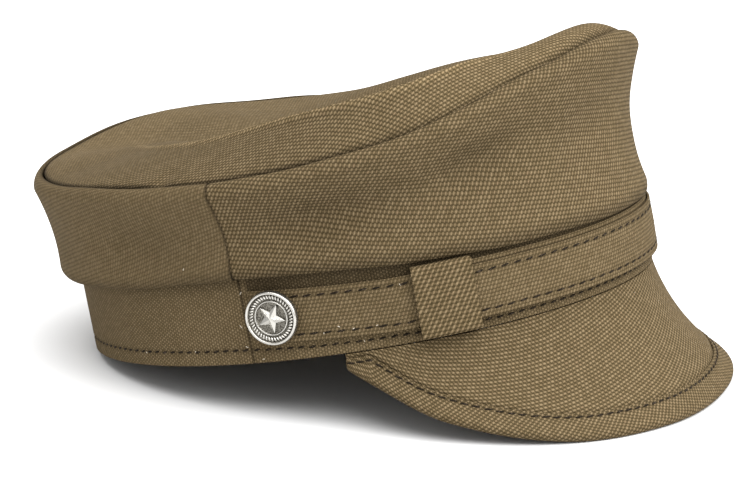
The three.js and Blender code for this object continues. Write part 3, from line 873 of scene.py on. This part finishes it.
def peak_profile(angle):
    """The cover from the edge under the binding up to the band."""
    start = binding_start(angle)
    end = float(peak("reach", angle)) - PEAK_THICK / 2
    length = np.linspace(0, end, 60)
    sunk = BOARD_SUNK + (BINDING_WALL + 0.2 - BOARD_SUNK) * fade(length, start - 1.2, start - 0.2)
    chain = beside(peak_face(angle, length), -sunk)
    sewn_in = np.array(((-2.0, -GAP - 0.1),))
    return np.concatenate((chain[::-1], sewn_in)).T


def binding_profile(angle):
    """The strip from its edge under the peak, round the peak's edge, to its edge on top."""
    half = PEAK_THICK / 2
    reach = float(peak("reach", angle))
    face = peak_face(angle, np.linspace(binding_start(angle), reach - half, 30))
    under = beside(face, -PEAK_THICK)
    middle = beside(face, -half)[-1]
    ahead = face[-1] - face[-2]
    ahead = ahead / np.linalg.norm(ahead)
    side = np.array((-ahead[1], ahead[0]))
    bend = np.radians(np.linspace(80, -80, 13))
    tip = middle + half * (np.outer(np.cos(bend), ahead) + np.outer(np.sin(bend), side))
    return np.concatenate((face, tip, under[::-1]))[::-1].T


def binding_relief(angle, along, seam, up, left):
    """Each row of topstitch pulls a shallow groove."""
    return -BINDING_GROOVE * (hump(left, BINDING_STITCH, 0.6) + hump(up, BINDING_STITCH, 0.6))


def binding_painted_shading(angle, along, seam, up, left):
    """Painted shade along each row of topstitch."""
    return BINDING_PAINTED_SHADE * (hump(left, BINDING_STITCH, 0.7) + hump(up, BINDING_STITCH, 0.7))


peak_canvas = canvas("peak_canvas", thread=1.4, row=1.4, turned=45)
binding_canvas = canvas("binding_canvas", thread=1.35, row=1.3, turned=20, tint=0.96)
peak_angles = stations(PEAK_CORNER, -PEAK_CORNER, GRID)
peak_cloth = Cloth(peak_angles, peak_profile, PEAK_ROWS)
peak_cover = cloth_object("peak_cover", peak_cloth, BOARD_THICK, PEAK_EDGE)
binding_cloth = Cloth(peak_angles, binding_profile, BINDING_ROWS, binding_relief, binding_painted_shading)
binding = cloth_object("peak_binding_strip", binding_cloth, BINDING_WALL, BINDING_EDGE)
peak_pieces = (peak_cover, peak_canvas, "peak"), (binding, binding_canvas, "peak_binding")
for piece, material, node in peak_pieces:
    piece.data.materials.append(material)
    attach(piece, "root")
    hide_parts(node)

binding_rows = [(binding_cloth, lambda angle, up=up: up) for up in (-BINDING_STITCH, BINDING_STITCH)]
stitching("peak_binding_stitches", binding_rows, HEM_PITCH)


# The chin straps.
# Two flat straps of folded canvas, one from each button. They lie over each other across the
# front, the left one on top, and are topstitched along both edges.
STRAP_WIDTH = 18
STRAP_THICK = 1.0
STRAP_HEIGHT = 12.8
STRAP_RISE = 3.0
UNDER_STRAP_LIFT = 1.7
STRAP_TAIL = 92.3
STRAP_STITCH = 2.5
STRAP_PITCH = 4.7
STRAP_GROOVE = 0.2
STRAP_SWELL = 0.12
# How dark the painted shade is along the topstitch and on the strap's edges.
STRAP_PAINTED_SHADE = 0.35
STRAP_EDGE_PAINTED_SHADE = 0.3
STRAP_ROWS = 22
STRAP_EDGE = 0.35
KEEPER_AT = 55.5
KEEPER_WALL = 1.0


def strap_profile(angle, out, up):
    """A strap's outer face from its lower to its upper edge."""
    away = abs(abs(angle) - KEEPER_AT)
    lift = (KEEPER_WALL + GAP) * (1 - fade(away, 7, 17))
    middle = STRAP_HEIGHT + STRAP_RISE * abs(angle / 90) ** 3 + up
    face = GAP + out + lift + STRAP_THICK
    return np.array((face, face)), np.array((middle - STRAP_WIDTH / 2, middle + STRAP_WIDTH / 2))


def right_strap_profile(angle):
    """The right strap lies against the band, a little higher where the left one covers it."""
    return strap_profile(angle, 0, UNDER_STRAP_LIFT * fade(KEEPER_AT + 12 - angle, 0, 20))


def left_strap_profile(angle):
    """The left strap lies on the right one and drops to the band past the left keeper."""
    return strap_profile(angle, (STRAP_THICK + GAP) * fade(angle, -KEEPER_AT - 20, -KEEPER_AT - 9), 0)


def strap_relief(angle, along, seam, up, left):
    """A topstitch groove along each edge, with a soft swell between them."""
    grooves = hump(up, STRAP_STITCH, 0.7) + hump(left, STRAP_STITCH, 0.7)
    return STRAP_SWELL * hump(up, STRAP_WIDTH / 2, 4) - STRAP_GROOVE * grooves


def strap_painted_shading(angle, along, seam, up, left):
    """Painted shade along each topstitch and on the strap's very edges."""
    grooves = hump(up, STRAP_STITCH, 0.8) + hump(left, STRAP_STITCH, 0.8)
    return STRAP_PAINTED_SHADE * grooves + STRAP_EDGE_PAINTED_SHADE * hump(np.minimum(up, left), 0, 0.6)


strap_canvas = canvas("strap_canvas", thread=1.35, row=1.25, contrast=0.75)
strap_right_angles = stations(STRAP_TAIL, -KEEPER_AT - 5, GRID)
strap_left_angles = stations(KEEPER_AT + 5, -STRAP_TAIL, GRID)
strap_right_cloth = Cloth(strap_right_angles, right_strap_profile, STRAP_ROWS, strap_relief, strap_painted_shading)
strap_left_cloth = Cloth(strap_left_angles, left_strap_profile, STRAP_ROWS, strap_relief, strap_painted_shading)
strap_right = cloth_object("strap_right_cloth", strap_right_cloth, STRAP_THICK, STRAP_EDGE)
strap_left = cloth_object("strap_left_cloth", strap_left_cloth, STRAP_THICK, STRAP_EDGE)
straps = (strap_right, strap_right_cloth, "strap_right"), (strap_left, strap_left_cloth, "strap_left")
for piece, cloth, node in straps:
    piece.data.materials.append(strap_canvas)
    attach(piece, "root")
    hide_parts(node)
    strap_rows = [(cloth, lambda angle, up=up: up) for up in (STRAP_STITCH, -STRAP_STITCH)]
    stitching(f"{node}_stitches", strap_rows, STRAP_PITCH)


# The keepers.
# A short sleeve of canvas on each side, slipped over both straps in front of the button, with
# its ends joined behind them.
KEEPER_WIDTH = 19.6
KEEPER_BOTTOM = 0.9
KEEPER_TOP = 25.4
KEEPER_CORNER = 1.3
KEEPER_RADIUS = 98.5
KEEPER_COLUMNS = 26
KEEPER_ROWS = 66
KEEPER_EDGE = 0.3


def keeper_profile(angle):
    """Once round the sleeve, from the middle of its back over the top to the front and under."""
    depth = 2 * (KEEPER_WALL + STRAP_THICK) + 3 * GAP
    tall = KEEPER_TOP - KEEPER_BOTTOM
    out, up = [], []
    for corner, (right, above) in enumerate(((-1, -1), (1, -1), (1, 1), (-1, 1))):
        bend = np.radians(180 + corner * 90 + np.linspace(0, 90, 9))
        out.append(right * (depth / 2 - KEEPER_CORNER) + KEEPER_CORNER * np.cos(bend))
        up.append(above * (tall / 2 - KEEPER_CORNER) + KEEPER_CORNER * np.sin(bend))
    out, up = np.concatenate(out), np.concatenate(up)
    out, up = np.append(out, out[0]), np.append(up, up[0])
    return GAP + depth / 2 + out, KEEPER_BOTTOM + tall / 2 + up


keeper_canvas = canvas("keeper_canvas", thread=1.8, row=1.4, slant=-1.1, tint=1.02)
for side, name in ((1, "right"), (-1, "left")):
    half = math.degrees(KEEPER_WIDTH / KEEPER_RADIUS) / 2
    angles = np.linspace(side * KEEPER_AT + half, side * KEEPER_AT - half, KEEPER_COLUMNS + 1)
    sleeve_cloth = Cloth(angles, keeper_profile, KEEPER_ROWS)
    sleeve = cloth_object(f"keeper_{name}_cloth", sleeve_cloth, KEEPER_WALL, KEEPER_EDGE, closed=True)
    sleeve.data.materials.append(keeper_canvas)
    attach(sleeve, "root")
    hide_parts(f"keeper_{name}")


# The buttons.
# One cast button in aged silver ends each strap, sewn on through a shank at its back. A polished
# rim stands round a ring of roped beads, and a five-pointed star lies on the sunk middle.
BUTTON_AT = 87.9
BUTTON_UP = 15.7
BUTTON_TURNS = 72
BUTTON_SECTION = (
    (8.2, 0.0), (9.0, 0.4), (9.3, 1.1), (9.3, 1.8), (9.15, 2.4), (8.85, 2.78), (8.5, 2.85), (8.25, 2.65),
    (8.15, 2.1), (8.05, 1.75), (6.35, 1.75), (6.2, 1.55), (6.02, 1.55), (5.92, 2.05), (5.72, 2.25),
    (5.5, 2.05), (5.42, 1.5), (5.2, 1.42), (2.6, 1.5),
)
BEADS = 44
BEAD_RING = 7.2
BEAD_LONG = 1.7
BEAD_THICK = 0.85
BEAD_LEAN = 24
BEAD_TALL = 0.62
BEAD_HEIGHT = 1.82
STAR_RADIUS = 5.1
STAR_VALLEY = 0.44
STAR_TURN = 40
STAR_FOOT = 1.3
STAR_SHOULDER = 2.1
STAR_TOP = 3.3
RECESS_HEIGHT = 1.6
POLISHED_HEIGHT = 2.4
TARNISH = (0.045, 0.041, 0.034, 1)
SUNK_METAL = (0.215, 0.202, 0.172, 1)
SILVER = (0.470, 0.455, 0.420, 1)


def aged_silver():
    """Cast silver-grey metal: bright where hands polish it, dark with tarnish in its recesses."""
    material, tree, shader = new_material("aged_silver")
    place = add_node(tree, "ShaderNodeTexCoord").outputs["Object"]
    grain = add_noise(tree, place, 2200.0, 3.0)["Fac"]
    cloud = add_noise(tree, place, 420.0)["Fac"]
    raised = add_node(tree, "ShaderNodeAttribute", attribute_name="raised").outputs["Fac"]
    rubbed = add_math(tree, "MULTIPLY_ADD", add_math(tree, "SUBTRACT", cloud, 0.5), 0.5, raised)
    old = add_mix(tree, add_fade(tree, grain, 0.35, 0.62), TARNISH, SUNK_METAL)
    colour = add_mix(tree, add_fade(tree, rubbed, 0.15, 0.6), old, SILVER)
    tree.links.new(colour, shader.inputs["Base Color"])
    shader.inputs["Metallic"].default_value = 1.0
    dull = add_math(tree, "MULTIPLY_ADD", add_fade(tree, rubbed, 0.1, 0.8), -0.3, 0.52)
    tree.links.new(dull, shader.inputs["Roughness"])
    bump = add_node(tree, "ShaderNodeBump", {"Height": grain, "Strength": 0.35, "Distance": 0.12 * MM})
    tree.links.new(bump.outputs[0], shader.inputs["Normal"])
    return material


def button_place(side):
    """Where a button sits: across, up and outwards from its back, in metres on the table."""
    out = 2 * GAP + STRAP_THICK
    seat, ahead = (lay_down(around(side * BUTTON_AT, reach, BUTTON_UP)) for reach in (out, out + 100))
    above = lay_down(around(side * BUTTON_AT, out, BUTTON_UP + 100))
    facing = Vector(ahead - seat).normalized()
    across = Vector(above - seat).cross(facing).normalized()
    turn = Matrix((across, facing.cross(across), facing)).transposed()
    return Matrix.Translation(Vector(seat)) @ turn.to_4x4() @ Matrix.Scale(MM, 4)


def metal_piece(name, cast, place):
    """Sets a casting made in millimetres on its place, and keeps how high each point stands."""
    bmesh.ops.recalc_face_normals(cast, faces=cast.faces)
    raised = cast.verts.layers.float.new("raised")
    for vertex in cast.verts:
        vertex[raised] = fade(vertex.co.z, RECESS_HEIGHT, POLISHED_HEIGHT)
    bmesh.ops.transform(cast, matrix=place, verts=cast.verts)
    piece = new_object(name, cast)
    piece.data.materials.append(silver)
    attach(piece, "root")
    return piece


def button_shell():
    """The button's body: its section spun once round, closed in the middle of both faces."""
    cast = bmesh.new()
    rim = [cast.verts.new((reach, 0, height)) for reach, height in BUTTON_SECTION]
    edges = [cast.edges.new(pair) for pair in zip(rim, rim[1:])]
    bmesh.ops.spin(cast, geom=rim + edges, cent=(0, 0, 0), axis=(0, 0, 1), angle=2 * math.pi,
                   steps=BUTTON_TURNS, use_merge=True)
    open_edges = [edge for edge in cast.edges if edge.is_boundary]
    bmesh.ops.holes_fill(cast, edges=open_edges, sides=0)
    for face in cast.faces:
        face.smooth = len(face.verts) == 4
    return cast


def button_beads():
    """The roped ring: one leaning oval bead beside the other."""
    cast = bmesh.new()
    shape = Matrix.Diagonal((BEAD_LONG / 2, BEAD_THICK / 2, BEAD_TALL, 1))
    for number in range(BEADS):
        turn = Matrix.Rotation(2 * math.pi * number / BEADS, 4, "Z")
        lean = Matrix.Rotation(math.radians(BEAD_LEAN), 4, "Z")
        place = turn @ Matrix.Translation((BEAD_RING, 0, BEAD_HEIGHT)) @ lean @ shape
        bmesh.ops.create_uvsphere(cast, u_segments=10, v_segments=6, radius=1, matrix=place)
    for face in cast.faces:
        face.smooth = True
    return cast


def button_star():
    """The star: a ten-cornered disc with every other corner pulled in, raised to a point."""
    cast = bmesh.new()
    turn = Matrix.Rotation(math.radians(STAR_TURN), 4, "Z")
    bmesh.ops.create_circle(cast, cap_ends=True, segments=10, radius=STAR_RADIUS)
    for number, vertex in enumerate(cast.verts):
        if number % 2:
            vertex.co *= STAR_VALLEY
        vertex.co.z = STAR_FOOT
    raised = bmesh.ops.extrude_face_region(cast, geom=cast.faces[:])["geom"]
    top = [part for part in raised if isinstance(part, bmesh.types.BMFace)]
    for vertex in top[0].verts:
        vertex.co.z = STAR_SHOULDER
    middle = bmesh.ops.poke(cast, faces=top)["verts"]
    middle[0].co.z = STAR_TOP
    bmesh.ops.transform(cast, matrix=turn, verts=cast.verts)
    return cast


silver = aged_silver()
for side, name in ((1, "button_right"), (-1, "button_left")):
    shell = metal_piece(f"{name}_shell", button_shell(), button_place(side))
    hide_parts(name)
    metal_piece(f"{name}_beads", button_beads(), button_place(side))
    metal_piece(f"{name}_star", button_star(), button_place(side))


# Lint and glints.
# Short pale ends of thread cling to the canvas round the near button, on the strap and along the
# hem, and pale bits on the stitch rows also stand for painted glints on the stitches. Each lies
# loose on the cloth, held by its fuzz.
LINT_AND_GLINTS_WIDTH = 0.34
LINT_AND_GLINTS_COLOUR = (0.62, 0.57, 0.48, 1)

# The cloth that a thread lies on, the angle, the height above the cloth's lower edge, the
# thread's length, and how far it is turned.
LINT_AND_GLINTS = (
    (band_back_cloth, 92.4, 24.4, 1.3, 50),
    (band_back_cloth, 95.3, 13.0, 1.5, 125),
    (band_back_cloth, 94.9, 5.9, 1.2, 160),
    (strap_right_cloth, 91.3, 2.6, 1.1, 20),
    (strap_right_cloth, 90.2, 3.1, 1.3, 100),
    (strap_right_cloth, 90.7, 1.9, 0.9, 60),
    (strap_right_cloth, 76.0, 4.0, 1.0, 150),
    (strap_right_cloth, 69.0, 3.0, 0.9, 20),
    (band_front_cloth, 91.9, 1.3, 1.1, 10),
    (crown_back_cloth, 104.0, 9.0, 0.9, 70),
    # From here on the pale bits lie on the stitch rows of the straps and the hem, as painted glints on the
    # stitches.
    (strap_right_cloth, 80.5, 15.6, 0.8, 40),
    (strap_right_cloth, 63.5, 15.4, 0.9, 120),
    (strap_right_cloth, 79.0, 2.2, 0.8, 80),
    (strap_right_cloth, 73.4, 2.8, 0.9, 35),
    (band_front_cloth, 72.0, 3.2, 0.8, 110),
    (band_front_cloth, 84.0, 4.1, 0.9, 15),
    (band_back_cloth, 107.0, 5.1, 0.8, 60),
    (band_back_cloth, 121.0, 4.6, 0.8, 130),
    (strap_right_cloth, 44.0, 15.3, 1.0, 25),
    (strap_right_cloth, 33.0, 15.7, 0.8, 140),
)

strands = bmesh.new()
for cloth, angle, up, length, turned in LINT_AND_GLINTS:
    there = np.interp(-angle, -cloth.angles, cloth.along)
    add_strand(strands, cloth, there, up, length, LINT_AND_GLINTS_WIDTH, turned)
lint_and_glints = new_object("lint_and_glints", strands)
lint_and_glints_paint, lint_and_glints_tree, lint_and_glints_shader = new_material("lint_and_glints")
lint_and_glints_place = add_node(lint_and_glints_tree, "ShaderNodeTexCoord").outputs["Object"]
lint_and_glints_fuzz = add_noise(lint_and_glints_tree, lint_and_glints_place, 900.0)["Fac"]
lint_and_glints_shade = add_mix(lint_and_glints_tree, lint_and_glints_fuzz, PALE, LINT_AND_GLINTS_COLOUR)
lint_and_glints_tree.links.new(lint_and_glints_shade, lint_and_glints_shader.inputs["Base Color"])
lint_and_glints_shader.inputs["Roughness"].default_value = 0.8
lint_and_glints.data.materials.append(lint_and_glints_paint)
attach(lint_and_glints, "root")
